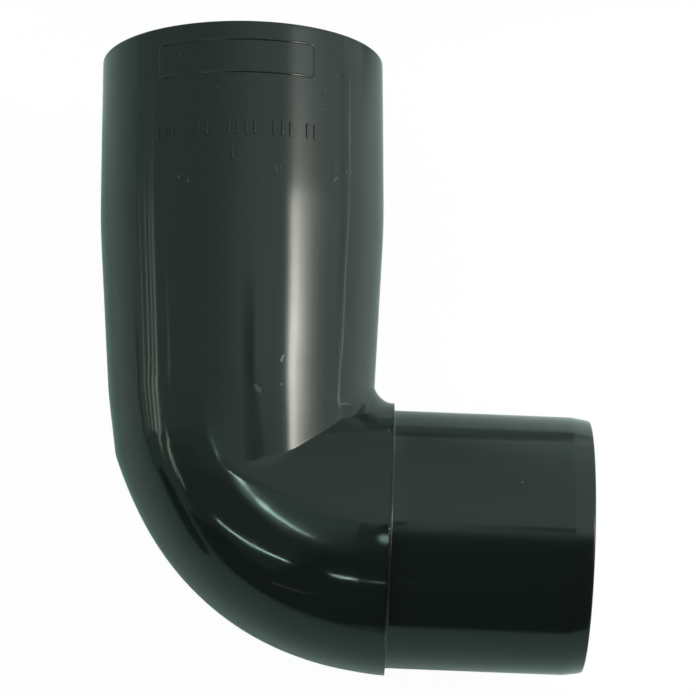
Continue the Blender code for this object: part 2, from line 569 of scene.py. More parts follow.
class NodeWriter:
    """Adds nodes to a tree in few words."""

    def __init__(self, tree: bpy.types.NodeTree) -> None:
        """Keep the tree."""
        self.tree = tree

    def join(self, value: object, socket: bpy.types.NodeSocket) -> None:
        """Link a socket, or set a constant, on an input socket.

        Args:
            value: The socket that is linked, or the constant.
            socket: The input socket.
        """
        if isinstance(value, bpy.types.NodeSocket):
            self.tree.links.new(value, socket)
        else:
            socket.default_value = value

    def node(
        self, kind: str, inputs: dict[str | int, object] | None = None, **options: object
    ) -> bpy.types.Node:
        """Add a node.

        Args:
            kind: The node's type.
            inputs: A socket or a constant for each input, by name or number.
            options: The node's own settings by name.

        Returns:
            The node.
        """
        node = self.tree.nodes.new(kind)
        for name, option in options.items():
            setattr(node, name, option)
        for label, value in (inputs or {}).items():
            self.join(value, node.inputs[label])
        return node

    def math(self, operation: str, *values: object) -> bpy.types.NodeSocket:
        """Return the result of a Math node."""
        return self.node("ShaderNodeMath", dict(enumerate(values)), operation=operation).outputs[0]

    def vector(self, operation: str, *values: object) -> bpy.types.NodeSocket:
        """Return the result of a Vector Math node."""
        node = self.node("ShaderNodeVectorMath", dict(enumerate(values)), operation=operation)
        return node.outputs["Value" if operation == "LENGTH" else "Vector"]

    def noise(self, place: bpy.types.NodeSocket, scale: float, detail: float = 2.0) -> bpy.types.NodeSocket:
        """Return the value of a Noise Texture node."""
        return self.node("ShaderNodeTexNoise", {"Vector": place, "Scale": scale, "Detail": detail}).outputs[0]

    def step(self, value: bpy.types.NodeSocket, low: float, high: float) -> bpy.types.NodeSocket:
        """Return a smooth step of a value between two limits."""
        inputs = {"Value": value, "From Min": low, "From Max": high}
        return self.node("ShaderNodeMapRange", inputs, interpolation_type="SMOOTHSTEP").outputs["Result"]

    def mix(self, share: object, first: object, second: object) -> bpy.types.NodeSocket:
        """Return a mix of two colours."""
        return self.node("ShaderNodeMix", {0: share, 6: first, 7: second}, data_type="RGBA").outputs[2]

    def parts(self, place: bpy.types.NodeSocket) -> tuple[bpy.types.NodeSocket, ...]:
        """Return the three parts of a vector."""
        return tuple(self.node("ShaderNodeSeparateXYZ", {0: place}).outputs)

    def group(self, group: bpy.types.NodeTree, **values: object) -> bpy.types.Node:
        """Return a node that runs a group, with its inputs by name."""
        return self.node("ShaderNodeGroup", values, node_tree=group)

    def painted(self, geometry: bpy.types.NodeSocket, material: bpy.types.NodeSocket) -> bpy.types.NodeSocket:
        """Return a geometry as real mesh with a material on it."""
        mesh = self.node("GeometryNodeRealizeInstances", {"Geometry": geometry}).outputs[0]
        return self.node("GeometryNodeSetMaterial", {"Geometry": mesh, "Material": material}).outputs[0]


def new_group(
    kind: str, name: str, inputs: dict[str, str], outputs: dict[str, str]
) -> tuple[NodeWriter, bpy.types.NodeOutputs, bpy.types.NodeInputs]:
    """Start a node group.

    Args:
        kind: What it works on, Shader or Geometry.
        name: The group's name.
        inputs: The kind of each input, by its name.
        outputs: The kind of each output, by its name.

    Returns:
        A writer for the group, the sockets that it reads its inputs from, and
        the sockets that its outputs are linked to.
    """
    tree = bpy.data.node_groups.new(name, f"{kind}NodeTree")
    for way, labels in (("INPUT", inputs), ("OUTPUT", outputs)):
        for label, socket in labels.items():
            tree.interface.new_socket(label, in_out=way, socket_type=f"NodeSocket{socket}")
    write = NodeWriter(tree)
    return write, write.node("NodeGroupInput").outputs, write.node("NodeGroupOutput").inputs


@dataclass
class RaisedFrame:
    """The thin raised line round the bare plate near the socket's mouth."""

    layout: Layout
    arc_half: float = 16.65 * MM
    arc_middle: float = -0.15 * MM
    depth_top: float = 3.85 * MM
    depth_bottom: float = 10.8 * MM
    corner: float = 0.9 * MM
    corner_steps: int = 6
    spacing: float = 0.5 * MM
    surface_radius: float = 30.0 * MM
    line_radius: float = 0.42 * MM
    line_sides: int = 12
    line_sink: float = 0.26 * MM

    def on_barrel(self, arc: float, depth: float) -> Vector:
        """Work out a point of the line's middle.

        Args:
            arc: Length round the barrel from the plate's middle.
            depth: Depth below the mouth.

        Returns:
            The point.
        """
        angle = (self.arc_middle + arc) / self.surface_radius
        radius = self.surface_radius - self.line_sink
        return self.layout.mouth + Vector((radius * math.sin(angle), -depth, radius * math.cos(angle)))

    def path(self) -> list[Vector]:
        """Work out the closed path of the line, a rectangle with rounded corners.

        Returns:
            The path's points.
        """
        middle = (self.depth_top + self.depth_bottom) / 2
        half = (self.depth_bottom - self.depth_top) / 2
        flat = []
        for quarter, (side, way) in enumerate(((1, 1), (-1, 1), (-1, -1), (1, -1))):
            centre = Vector((side * (self.arc_half - self.corner), way * (half - self.corner)))
            for step in range(self.corner_steps + 1):
                angle = math.radians(90.0 * (quarter + step / self.corner_steps))
                flat.append(centre + Vector((math.cos(angle), math.sin(angle))) * self.corner)
        path = []
        for start, end in zip(flat, flat[1:] + flat[:1]):
            parts = max(1, round((end - start).length / self.spacing))
            for part in range(parts):
                arc, rise = start.lerp(end, part / parts)
                path.append(self.on_barrel(arc, middle + rise))
        return path

    def tree(self) -> bpy.types.NodeTree:
        """Make the tree that runs a round line along a path.

        Returns:
            The tree.
        """
        inputs = {"Geometry": "Geometry", "Line Radius": "Float", "Material": "Material"}
        write, source, leave = new_group("Geometry", "raised_line", inputs, {"Geometry": "Geometry"})
        curve = write.node("GeometryNodeMeshToCurve", {"Mesh": source["Geometry"]}).outputs["Curve"]
        sides = {"Resolution": self.line_sides, "Radius": source["Line Radius"]}
        profile = write.node("GeometryNodeCurvePrimitiveCircle", sides).outputs["Curve"]
        line = write.node("GeometryNodeCurveToMesh", {"Curve": curve, "Profile Curve": profile})
        write.join(write.painted(line.outputs["Mesh"], source["Material"]), leave["Geometry"])
        return write.tree

    def build(self, material: bpy.types.Material) -> bpy.types.Object:
        """Build the raised line.

        Args:
            material: The plastic.

        Returns:
            The line's object.
        """
        points = self.path()
        edges = [(index, (index + 1) % len(points)) for index in range(len(points))]
        item = new_object("raised_frame", points, edges)
        run_nodes(item, self.tree(), {"Line Radius": self.line_radius, "Material": material})
        return item


@dataclass
class TickRow:
    """The row of plain raised ticks below the frame."""

    layout: Layout
    depth: float = 22.5 * MM
    surface_radius: float = 30.05 * MM
    groups: tuple[tuple[float, int], ...] = (
        (-17.2 * MM, 3), (-9.6 * MM, 3), (-1.6 * MM, 4), (7.6 * MM, 3), (14.8 * MM, 2),
    )
    lone_seat: Pair = (-0.9 * MM, 27.9 * MM)
    pitch: float = 1.75 * MM
    length: float = 3.2 * MM
    width: float = 0.5 * MM
    height: float = 0.24 * MM

    def seats(self) -> Profile:
        """Work out where the ticks sit.

        Returns:
            Arc length and depth of each tick's middle.
        """
        seats = []
        for start, count in self.groups:
            seats += [(start + index * self.pitch, self.depth) for index in range(count)]
        return seats + [self.lone_seat]

    def tree(self) -> bpy.types.NodeTree:
        """Make the tree that sets one rounded tick on each point, square to the barrel.

        Returns:
            The tree.
        """
        inputs = {"Geometry": "Geometry", "Axis": "Vector", "Size": "Vector", "Material": "Material"}
        write, source, leave = new_group("Geometry", "raised_ticks", inputs, {"Geometry": "Geometry"})
        block = {"Size": source["Size"], "Vertices X": 3, "Vertices Y": 5, "Vertices Z": 3}
        cube = write.node("GeometryNodeMeshCube", block).outputs["Mesh"]
        tick = write.node("GeometryNodeSubdivisionSurface", {"Mesh": cube, "Level": 2}).outputs["Mesh"]
        offset = write.vector("SUBTRACT", write.node("GeometryNodeInputPosition").outputs[0], source["Axis"])
        outward = write.vector("MULTIPLY", offset, (1.0, 0.0, 1.0))
        align = write.node("FunctionNodeAlignRotationToVector", {"Vector": outward}, axis="Z")
        seats = {"Points": source["Geometry"], "Instance": tick, "Rotation": align.outputs["Rotation"]}
        ticks = write.node("GeometryNodeInstanceOnPoints", seats).outputs["Instances"]
        write.join(write.painted(ticks, source["Material"]), leave["Geometry"])
        return write.tree

    def build(self, material: bpy.types.Material) -> bpy.types.Object:
        """Build the row.

        Args:
            material: The plastic.

        Returns:
            The row's object.
        """
        points = []
        for arc, depth in self.seats():
            angle = arc / self.surface_radius
            rise = Vector((math.sin(angle), 0.0, math.cos(angle))) * self.surface_radius
            points.append(self.layout.mouth + rise - Vector((0.0, depth, 0.0)))
        item = new_object("raised_ticks", points)
        size = (self.width, self.length, 2 * self.height)
        run_nodes(item, self.tree(), {"Axis": tuple(self.layout.mouth), "Size": size, "Material": material})
        return item


@dataclass(frozen=True)
class ViewPoint:
    """Where the photograph was taken from, as a lean, a roll and a distance."""

    lean: float = math.radians(-12.0)
    roll: float = math.radians(0.2202)
    distance: float = 545.39 * MM
    aim_across: float = 22.338 * MM
    aim_along: float = -62.079 * MM
    pixels_per_metre: float = 4752.5
    image_side: int = 696
    sensor_width: float = 36.0
    clip: Pair = (0.01, 30.0)

    def build(self, layout: Layout) -> bpy.types.Object:
        """Add the camera and make it the scene's own.

        Args:
            layout: Where the bend lies.

        Returns:
            The camera's object.
        """
        aim = layout.mouth + Vector((self.aim_across, self.aim_along, 0.0))
        turn = Matrix.Rotation(self.roll, 3, "Z") @ Matrix.Rotation(self.lean, 3, "X")
        camera = bpy.data.cameras.new("camera")
        camera.sensor_width = self.sensor_width
        camera.lens = self.sensor_width * self.pixels_per_metre * self.distance / self.image_side
        camera.clip_start, camera.clip_end = self.clip
        item = bpy.data.objects.new("camera", camera)
        back_off = Matrix.Translation((0.0, 0.0, self.distance))
        item.matrix_world = Matrix.Translation(aim) @ turn.transposed().to_4x4() @ back_off
        bpy.context.scene.collection.objects.link(item)
        bpy.context.scene.camera = item
        return item


@dataclass(frozen=True)
class Card:
    """A card hung far from the bend, which its gloss mirrors.

    Its points are directions from the bend, in degrees off the vertical: across
    towards +X and along towards +Y, each with a level from 0 at a faded edge to 1.
    """

    name: str
    colour: Triple = (0.70, 1.0, 0.91)
    strength: float = 0.0
    darkening: float = 0.0
    distance: float = 1.8
    seat: Triple = (0.0, 0.0, 0.0)

    def outline(self) -> Outline:
        """Return the card's points and faces."""
        raise NotImplementedError

    @staticmethod
    def direction(across: float, along: float) -> Vector:
        """Work out the direction for two angles off the vertical.

        Args:
            across: Angle towards +X, in degrees.
            along: Angle towards +Y.

        Returns:
            The direction, 1 long.
        """
        tilt = math.radians(math.hypot(across, along))
        turn = math.atan2(along, across)
        return Vector((math.sin(tilt) * math.cos(turn), math.sin(tilt) * math.sin(turn), math.cos(tilt)))

    def material(self) -> bpy.types.Material:
        """Make the card's glow, laid over what is behind it.

        Returns:
            The material.
        """
        material = bpy.data.materials.new(self.name)
        material.use_nodes = True
        material.node_tree.nodes.clear()
        write = NodeWriter(material.node_tree)
        level = write.node("ShaderNodeAttribute", attribute_name="level").outputs["Fac"]
        power = write.math("MULTIPLY", level, self.strength)
        glow = write.node("ShaderNodeEmission", {"Color": (*self.colour, 1.0), "Strength": power}).outputs[0]
        darkest = 1.0 - self.darkening
        kept = write.node("ShaderNodeMapRange", {"Value": level, "To Min": 1.0, "To Max": darkest})
        clear = write.node("ShaderNodeBsdfTransparent", {"Color": kept.outputs["Result"]}).outputs[0]
        both = write.node("ShaderNodeAddShader", {0: glow, 1: clear}).outputs[0]
        write.node("ShaderNodeOutputMaterial", {"Surface": both})
        return material

    def build(self, centre: Vector) -> bpy.types.Object:
        """Hang the card.

        Args:
            centre: The point that the card's directions are seen from.

        Returns:
            The card's object, hidden from the camera.
        """
        spots, faces = self.outline()
        seat = centre + Vector(self.seat)
        points = [seat + self.direction(across, along) * self.distance for across, along, _ in spots]
        item = new_object(self.name, points, (), faces)
        levels = item.data.attributes.new("level", "FLOAT", "POINT")
        levels.data.foreach_set("value", [level for _, _, level in spots])
        item.data.materials.append(self.material())
        item.visible_camera = False
        return item


@dataclass(frozen=True)
class GridCard(Card):
    """A card with a level along each of its two ways.

    A row may also have a shift and a squeeze of its across knots from the first.
    """

    across: tuple[Pair, ...] = ()
    along: tuple[tuple[float, ...], ...] = ()

    def outline(self) -> Outline:
        """Lay out the grid.

        Returns:
            Its points and faces.
        """
        wide, first = len(self.across), self.across[0][0]
        spots = []
        for y, row_level, *fit in self.along:
            shift, squeeze = fit or (0.0, 1.0)
            for x, level in self.across:
                spots.append((first + shift + (x - first) * squeeze, y, level * row_level))
        faces = []
        for row in range(len(self.along) - 1):
            for corner in range(row * wide, row * wide + wide - 1):
                faces.append((corner, corner + 1, corner + wide + 1, corner + wide))
        return spots, faces


@dataclass(frozen=True)
class RibbonCard(Card):
    """A narrow card along a path, whose knots are across, along and level.

    Its half width holds all along, apart from a knot that has its own as a fourth value.
    """

    half: float = 1.0
    soft: float = 0.6
    knots: tuple[tuple[float, ...], ...] = ()

    def outline(self) -> Outline:
        """Lay out the ribbon, with a soft share at each side.

        Returns:
            Its points and faces.
        """
        spots, faces = [], []
        hard = 1.0 - self.soft
        for index, (x, y, level, *own) in enumerate(self.knots):
            before = self.knots[max(index - 1, 0)]
            after = self.knots[min(index + 1, len(self.knots) - 1)]
            run = (after[0] - before[0], after[1] - before[1])
            reach = (own[0] if own else self.half) / math.hypot(*run)
            for share, part in ((-1.0, 0.0), (-hard, 1.0), (hard, 1.0), (1.0, 0.0)):
                spots.append((x - run[1] * reach * share, y + run[0] * reach * share, level * part))
        for row in range(len(self.knots) - 1):
            for corner in range(row * 4, row * 4 + 3):
                faces.append((corner, corner + 1, corner + 5, corner + 4))
        return spots, faces


@dataclass(frozen=True)
class PatchCard(Card):
    """A card with any outline, fading over a margin outside it, or over a corner's own."""

    margin: float = 3.0
    least_spread: float = 1.2
    corners: tuple[tuple[float, ...], ...] = ()

    def outline(self) -> Outline:
        """Lay out the patch and its faded margin.

        Returns:
            Its points and faces.
        """
        count = len(self.corners)
        following = self.corners[1:] + self.corners[:1]
        area = sum(a[0] * b[1] - b[0] * a[1] for a, b in zip(self.corners, following))
        way = math.copysign(1.0, area)
        spots = [(x, y, 1.0) for x, y, *_ in self.corners]
        for index, (x, y, *own) in enumerate(self.corners):
            before, after = self.corners[index - 1][:2], self.corners[(index + 1) % count][:2]
            across, along = 0.0, 0.0
            for start, end in ((before, (x, y)), ((x, y), after)):
                size = math.dist(start, end)
                across += way * (end[1] - start[1]) / size
                along -= way * (end[0] - start[0]) / size
            margin = own[0] if own else self.margin
            scale = margin * 2.0 / max(across**2 + along**2, self.least_spread)
            spots.append((x + across * scale, y + along * scale, 0.0))
        faces: list[tuple[int, ...]] = [tuple(range(count))]
        for index in range(count):
            after = (index + 1) % count
            faces.append((index, after, after + count, index + count))
        return spots, faces


@dataclass
class Studio:
    """The pale floor, the soft light all round and the cards."""

    layout: Layout
    floor_half: float = 4.0
    floor_gap: float = 0.15 * MM
    # The floor's colours and glow are painted light and shade for the gloss to mirror: dim towards -Y, bright
    # and glowing to the right, darker far towards +Y.
    floor_dim: Triple = (0.575, 0.70, 0.65)
    floor_bright: Triple = (0.76, 0.83, 0.80)
    floor_beyond_shade: Triple = (0.40, 0.47, 0.45)
    dim_edge: Pair = (-0.13, -0.03)
    bright_edge: Pair = (0.02, 0.08)
    beyond_left: Pair = (-0.09, -0.05)
    beyond_right: Pair = (0.06, 0.12)
    beyond_near: Pair = (0.07, 0.10)
    beyond_far: Pair = (0.2, 0.6)
    floor_glow: float = 0.3
    floor_white: float = 1.02
    floor_white_share: float = 0.95
    left_light: Triple = (0.37, 0.54, 0.50)
    right_light: Triple = (0.78, 1.04, 0.97)
    low_left_light: Triple = (0.25, 0.38, 0.335)
    low_right_light: Triple = (0.10, 0.15, 0.16)
    side_edge: Pair = (-0.45, 0.35)
    low_edge: Pair = (-0.10, 0.08)

    def cards(self) -> list[Card]:
        """Lay out the cards that the gloss shows as highlights and dark bands.

        Returns:
            The cards.
        """
        warm, cool = (1.0, 0.99, 0.88), (0.67, 1.0, 0.91)
        heel_seat, right_seat = (-0.045, -0.045, 0.0), (0.0, 0.02, 0.0)
        shoulder_seat = (0.0092, -0.0405, 0.027)
        cards: list[Card] = [
            GridCard(
                "key_light", colour=warm, strength=15.5,
                across=(
                    (35.5, 0.0), (38.0, 0.06), (40.8, 0.42), (43.0, 0.92), (45.0, 1.0), (47.5, 0.95),
                    (50.5, 0.66), (54.0, 0.42), (58.0, 0.24), (63.0, 0.10), (69.0, 0.03), (78.0, 0.0),
                ),
                along=(
                    (-24.0, 0.0), (-12.0, 0.4, 3.0, 0.5), (0.0, 0.6, 2.0, 0.6), (4.0, 0.66, 1.6, 0.74),
                    (5.3, 0.80, 1.0, 0.84), (6.6, 0.95, 0.5, 0.95), (8.0, 0.70, 0.0, 1.0),
                    (10.0, 0.50, -1.4, 1.0), (12.5, 0.33, -1.4, 1.0), (15.5, 0.16, -0.5, 1.0), (18.0, 0.07),
                    (22.0, 0.0),
                ),
            ),
            GridCard(
                "key_halo", colour=warm, strength=3.2,
                across=(
                    (30.0, 0.0), (34.5, 0.08), (39.0, 0.5), (42.5, 0.9), (47.0, 1.0), (53.0, 0.85),
                    (58.0, 0.60), (65.0, 0.34), (75.0, 0.12), (90.0, 0.04), (110.0, 0.0),
                ),
                along=(
                    (-24.0, 0.0), (0.0, 0.4), (8.0, 0.5), (14.0, 0.75), (20.0, 0.42), (30.0, 0.2),
                    (45.0, 0.0),
                ),
            ),
            PatchCard(
                "dark_flag", darkening=0.775, distance=2.0, margin=3.5,
                corners=(
                    (22.0, -12.0, 16.0), (3.0, -12.0, 16.0), (0.5, -21.0, 7.0), (-4.0, -23.0, 7.0),
                    (-9.0, -25.0, 6.5), (-13.5, -28.5, 6.5), (-17.5, -35.0, 6.0), (-22.0, -41.5, 5.0),
                    (-29.0, -48.0), (-40.0, -55.0), (-50.0, -50.0), (-60.0, -40.0), (-73.0, -37.0),
                    (-70.0, -50.0), (-64.0, -62.0), (-52.0, -73.0), (-38.0, -80.0), (-20.0, -86.5),
                    (-12.0, -84.0), (-5.0, -84.0), (-2.5, -87.5), (22.0, -86.0),
                ),
            ),
            PatchCard(
                "low_flag", darkening=0.8, distance=0.12, margin=1.0, seat=heel_seat,
                corners=(
                    (-84.6, -10.5), (-84.6, -16.5), (-84.3, -26.2), (-81.6, -37.1), (-78.0, -48.9),
                    (-70.6, -58.8), (-66.7, -56.2), (-69.5, -42.8), (-71.5, -31.8), (-73.4, -23.6),
                    (-75.6, -14.8), (-79.0, -9.6),
                ),
            ),
            RibbonCard(
                "low_line", darkening=0.55, distance=0.12, seat=heel_seat, soft=0.7, half=2.4,
                knots=(
                    (-70.0, 52.0, 0.0), (-74.9, 43.6, 0.8), (-78.1, 36.0, 1.0), (-83.0, 29.0, 1.0),
                    (-83.2, 14.7, 1.0), (-84.4, 2.0, 0.9), (-86.0, -7.0, 0.8), (-85.5, -14.0, 0.0, 2.0),
                ),
            ),
            PatchCard(
                "dim_side", darkening=0.42, distance=2.02, margin=4.0,
                corners=(
                    (-70.0, -20.0), (-50.0, -16.0), (-36.0, -13.0), (-30.0, -20.0), (-20.0, -26.0),
                    (-13.0, -30.0), (-22.0, -42.0), (-40.0, -52.0), (-56.0, -42.0), (-70.0, -33.0),
                ),
            ),
            GridCard(
                "dark_gap", darkening=0.68, distance=2.0,
                across=((0.0, 0.0), (3.5, 0.4), (5.5, 0.95), (10.0, 1.0), (11.6, 0.85), (12.8, 0.0)),
                along=(
                    (7.0, 0.0), (5.9, 0.7), (4.9, 1.0), (3.1, 1.0), (2.7, 0.55, 0.4, 1.1),
                    (2.2, 0.5, 0.4, 1.3), (1.8, 0.62, -0.6, 1.5), (0.8, 0.62, -0.6, 1.6),
                    (-2.0, 0.0, -0.6, 1.6),
                ),
            ),
            PatchCard(
                "pale_ceiling", colour=cool, strength=0.40, margin=4.0,
                corners=(
                    (-28.0, -3.0), (-2.0, -1.0), (-6.0, -10.0), (-14.0, -19.0), (-22.0, -20.0),
                    (-28.0, -12.0),
                ),
            ),
            RibbonCard(
                "window", colour=cool, strength=13.0, half=1.2,
                knots=(
                    (-27.8, -3.7, 0.0), (-28.0, -4.7, 0.9, 2.1), (-28.0, -6.4, 1.0, 2.5),
                    (-27.3, -8.1, 0.7, 1.6), (-26.3, -9.8, 0.25, 1.0), (-25.0, -11.2, 0.45, 1.3),
                    (-23.8, -12.9, 0.95, 2.1), (-22.4, -14.3, 0.7, 1.6), (-19.8, -16.0, 0.7),
                    (-17.0, -18.1, 0.7, 1.0), (-14.7, -19.2, 0.6, 0.8), (-12.7, -19.7, 0.0, 0.8),
                ),
            ),
            RibbonCard(
                "window_halo", colour=cool, strength=1.6, soft=0.85, half=1.5,
                knots=(
                    (-29.5, -4.2, 0.0), (-29.5, -6.5, 0.8, 3.2), (-28.8, -9.5, 1.0, 4.6),
                    (-25.5, -12.5, 1.0, 5.0), (-20.5, -16.5, 0.8, 4.5), (-12.0, -20.0, 0.0, 3.0),
                ),
            ),
            RibbonCard(
                "tube", colour=cool, strength=22.0, half=0.55,
                knots=(
                    (-56.2, -32.8, 0.0, 0.5), (-55.6, -33.4, 0.8), (-52.8, -35.3, 0.7), (-47.4, -37.9, 1.0),
                    (-41.1, -40.0, 1.0), (-35.1, -41.4, 1.0), (-30.4, -42.5, 0.9), (-28.0, -43.2, 0.0, 0.5),
                ),
            ),
            RibbonCard(
                "short_tube", colour=cool, strength=76.0, half=0.8,
                knots=(
                    (-16.8, -43.9, 0.0), (-16.2, -44.0, 0.8), (-15.0, -44.2, 1.0), (-11.0, -44.7, 1.0),
                    (-9.2, -44.9, 0.7), (-8.5, -45.1, 0.02), (-6.6, -45.2, 0.02), (-5.8, -45.2, 0.12),
                    (-2.0, -45.8, 0.16), (-1.0, -46.0, 0.0),
                ),
            ),
            PatchCard(
                "step_glint", colour=cool, strength=5.5, distance=0.12, margin=1.3, seat=shoulder_seat,
                corners=(
                    (-0.55, -15.6), (-0.75, -16.5), (-1.15, -16.9), (-1.55, -16.5), (-1.75, -15.6),
                    (-1.55, -14.7), (-1.15, -14.3), (-0.75, -14.7),
                ),
            ),
            RibbonCard(
                "rail", colour=(0.86, 1.0, 0.95), strength=0.5, soft=0.8,
                knots=(
                    (-44.0, -62.0, 0.0, 0.9), (-41.9, -62.9, 1.0), (-32.0, -64.0, 1.0), (-23.2, -62.6, 1.0),
                    (-12.8, -61.9, 0.8), (-10.0, -61.5, 0.0, 0.9),
                ),
            ),
            GridCard(
                "top_dim", darkening=0.36, distance=0.2,
                across=((-18.0, 0.0), (-5.0, 1.0), (15.0, 1.0), (28.0, 0.0)),
                along=(
                    (10.0, 0.0), (28.0, 0.22), (50.0, 0.42), (62.0, 0.75), (78.0, 1.0), (91.0, 1.0),
                    (98.0, 0.5),
                ),
            ),
            RibbonCard(
                "table_edge", colour=(0.9, 1.0, 0.95), strength=1.8, distance=0.18, seat=right_seat, soft=0.5,
                half=0.8,
                knots=(
                    (80.6, 45.5, 0.0), (81.3, 44.0, 0.4), (84.1, 38.3, 0.7), (86.6, 32.3, 0.6),
                    (87.5, 25.1, 0.6), (89.5, 10.4, 0.9), (91.0, 2.6, 1.0), (89.0, -1.6, 1.0),
                    (86.8, -3.5, 1.0), (85.8, -4.4, 0.0),
                ),
            ),
            RibbonCard(
                "table_shade", darkening=0.18, distance=0.185, seat=right_seat, soft=0.85, half=7.0,
                knots=(
                    (73.5, 47.0, 0.0), (75.5, 41.5, 0.5), (80.0, 30.5, 0.9), (82.5, 20.5, 1.0),
                    (84.5, 9.5, 0.9), (84.0, 1.0, 0.3, 6.0), (81.0, -3.0, 0.0, 6.0),
                ),
            ),
        ]
        lines = (
            (1.4, (
                (-71.0, 26.0, 0.0), (-72.8, 15.0, 0.12), (-73.6, 8.7, 0.26), (-74.0, 4.9, 0.36),
                (-75.6, 2.0, 0.42), (-76.1, 0.1, 0.48), (-76.0, -4.0, 0.42, 1.3), (-77.4, -9.8, 0.36, 1.2),
                (-78.0, -16.4, 0.36, 1.0), (-79.0, -21.5, 0.0, 1.0),
            )),
            (0.9, (
                (-74.0, 26.0, 0.0), (-76.0, 15.0, 0.12), (-77.2, 9.4, 0.26), (-78.2, 5.9, 0.38),
                (-79.6, 2.4, 0.5), (-80.2, 1.2, 0.6), (-79.9, -1.2, 0.5), (-79.2, -7.0, 0.0),
            )),
            (0.9, (
                (-78.5, 26.0, 0.0), (-80.5, 15.0, 0.12), (-81.5, 10.1, 0.25), (-83.1, 6.7, 0.27),
                (-84.2, 2.9, 0.28), (-84.2, 1.0, 0.25), (-83.0, -2.5, 0.0),
            )),
            (1.1, (
                (-84.5, 26.0, 0.0), (-86.3, 15.0, 0.05), (-87.2, 11.1, 0.14), (-87.7, 7.6, 0.16),
                (-88.9, 3.4, 0.17), (-88.0, 0.0, 0.0),
            )),
            (0.8, (
                (-70.0, 1.0, 0.0), (-69.6, -2.5, 0.15), (-69.0, -5.4, 0.35), (-68.8, -11.4, 0.6),
                (-71.4, -19.1, 0.9), (-73.4, -23.0, 0.0),
            )),
            (0.7, (
                (-70.9, -19.5, 0.0), (-70.4, -21.7, 0.35, 0.8), (-70.6, -24.0, 0.35, 0.8),
                (-70.1, -26.5, 0.0),
            )),
            (1.2, ((-61.0, 10.0, 0.0), (-61.3, 6.0, 0.12), (-61.8, 3.5, 0.12), (-62.5, 1.8, 0.0))),
        )
        for index, (half, knots) in enumerate(lines):
            name = f"side_window_{index}"
            cards.append(RibbonCard(name, colour=(0.94, 1.0, 0.82), strength=7.0, half=half, knots=knots))
        return cards

    def floor_material(self) -> bpy.types.Material:
        """Make the floor's material: painted light and shade that the gloss mirrors, and a white that the
        camera sees.

        Returns:
            The material.
        """
        material = bpy.data.materials.new("floor")
        material.use_nodes = True
        nodes = material.node_tree.nodes
        write = NodeWriter(material.node_tree)
        x, y, _ = write.parts(write.node("ShaderNodeTexCoord").outputs["Object"])
        # Painted shade: the floor is dim towards -Y and paler past dim_edge.
        along = write.step(y, *self.dim_edge)
        middle = write.math("SUBTRACT", write.step(x, *self.beyond_left), write.step(x, *self.beyond_right))
        strip = write.math("SUBTRACT", write.step(y, *self.beyond_near), write.step(y, *self.beyond_far))
        # Painted shade: a darker strip of floor far towards +Y.
        beyond = write.math("MULTIPLY", middle, strip)
        # Painted light: a paler pool to the right that also glows, though the floor is no lamp.
        bright = write.math("MULTIPLY", write.step(x, *self.bright_edge), along)
        bright = write.math("MULTIPLY", bright, write.math("SUBTRACT", 1.0, beyond))
        tone = write.mix(along, (*self.floor_dim, 1.0), (*self.floor_bright, 1.0))
        looks = {
            "Base Color": write.mix(beyond, tone, (*self.floor_beyond_shade, 1.0)), "Roughness": 0.9,
            "Specular IOR Level": 0.0, "Emission Color": (0.9, 1.0, 0.95, 1.0),
            "Emission Strength": write.math("MULTIPLY", bright, self.floor_glow),
        }
        paint = nodes["Principled BSDF"]
        for label, value in looks.items():
            write.join(value, paint.inputs[label])
        white = write.node("ShaderNodeEmission", {"Strength": self.floor_white})
        seen = write.node("ShaderNodeLightPath").outputs["Is Camera Ray"]
        shown = write.math("MULTIPLY", seen, self.floor_white_share)
        both = write.node("ShaderNodeMixShader", {0: shown, 1: paint.outputs[0], 2: white.outputs[0]})
        write.join(both.outputs[0], nodes["Material Output"].inputs["Surface"])
        return material

    def build_floor(self) -> None:
        """Lay the floor under the bend."""
        half, height = self.floor_half, self.layout.low.z - self.floor_gap
        corners = [Vector((x * half, y * half, height)) for x, y in ((-1, -1), (1, -1), (1, 1), (-1, 1))]
        item = new_object("floor", corners, (), ((0, 1, 2, 3),))
        item.data.materials.append(self.floor_material())

    def build_world(self) -> None:
        """Make the soft light all round, paler to the right and dim towards -Y."""
        world = bpy.data.worlds.new("studio")
        bpy.context.scene.world = world
        world.use_nodes = True
        write = NodeWriter(world.node_tree)
        x, y, _ = write.parts(write.node("ShaderNodeTexCoord").outputs["Generated"])
        side = write.step(x, *self.side_edge)
        upper = write.mix(side, (*self.left_light, 1.0), (*self.right_light, 1.0))
        lower = write.mix(side, (*self.low_left_light, 1.0), (*self.low_right_light, 1.0))
        glow = write.mix(write.step(y, *self.low_edge), lower, upper)
        seen = write.node("ShaderNodeLightPath").outputs["Is Camera Ray"]
        shown = write.mix(seen, glow, (1.0, 1.0, 1.0, 1.0))
        write.join(shown, world.node_tree.nodes["Background"].inputs["Color"])

    def build(self) -> None:
        """Build the whole studio."""
        self.build_floor()
        self.build_world()
        centre = Vector((0.0, 0.0, self.layout.mouth.z))
        for card in self.cards():
            card.build(centre)
        bpy.context.scene.view_settings.view_transform = "Standard"


class MarkKind(Enum):
    """How a mark changes the plastic: shade (0 dark to 1 pale), share of it, roughness and height."""

    NICK = (0.42, 0.5, 0.35, -1.0)
    SCUFF = (0.35, 0.35, 0.3, -0.4)
    SPECK = (0.5, 0.8, 0.5, 0.6)
    SMEAR = (0.15, 0.12, 0.16, 0.0)
    PIT = (0.0, 0.6, 0.5, -1.0)


@dataclass(frozen=True)
class Mark:
    """One mark on the upper side, in millimetres from the middle of the mouth."""

    across: float
    along: float
    length: float
    width: float
    turn: float = 0.0
    kind: MarkKind = MarkKind.SPECK


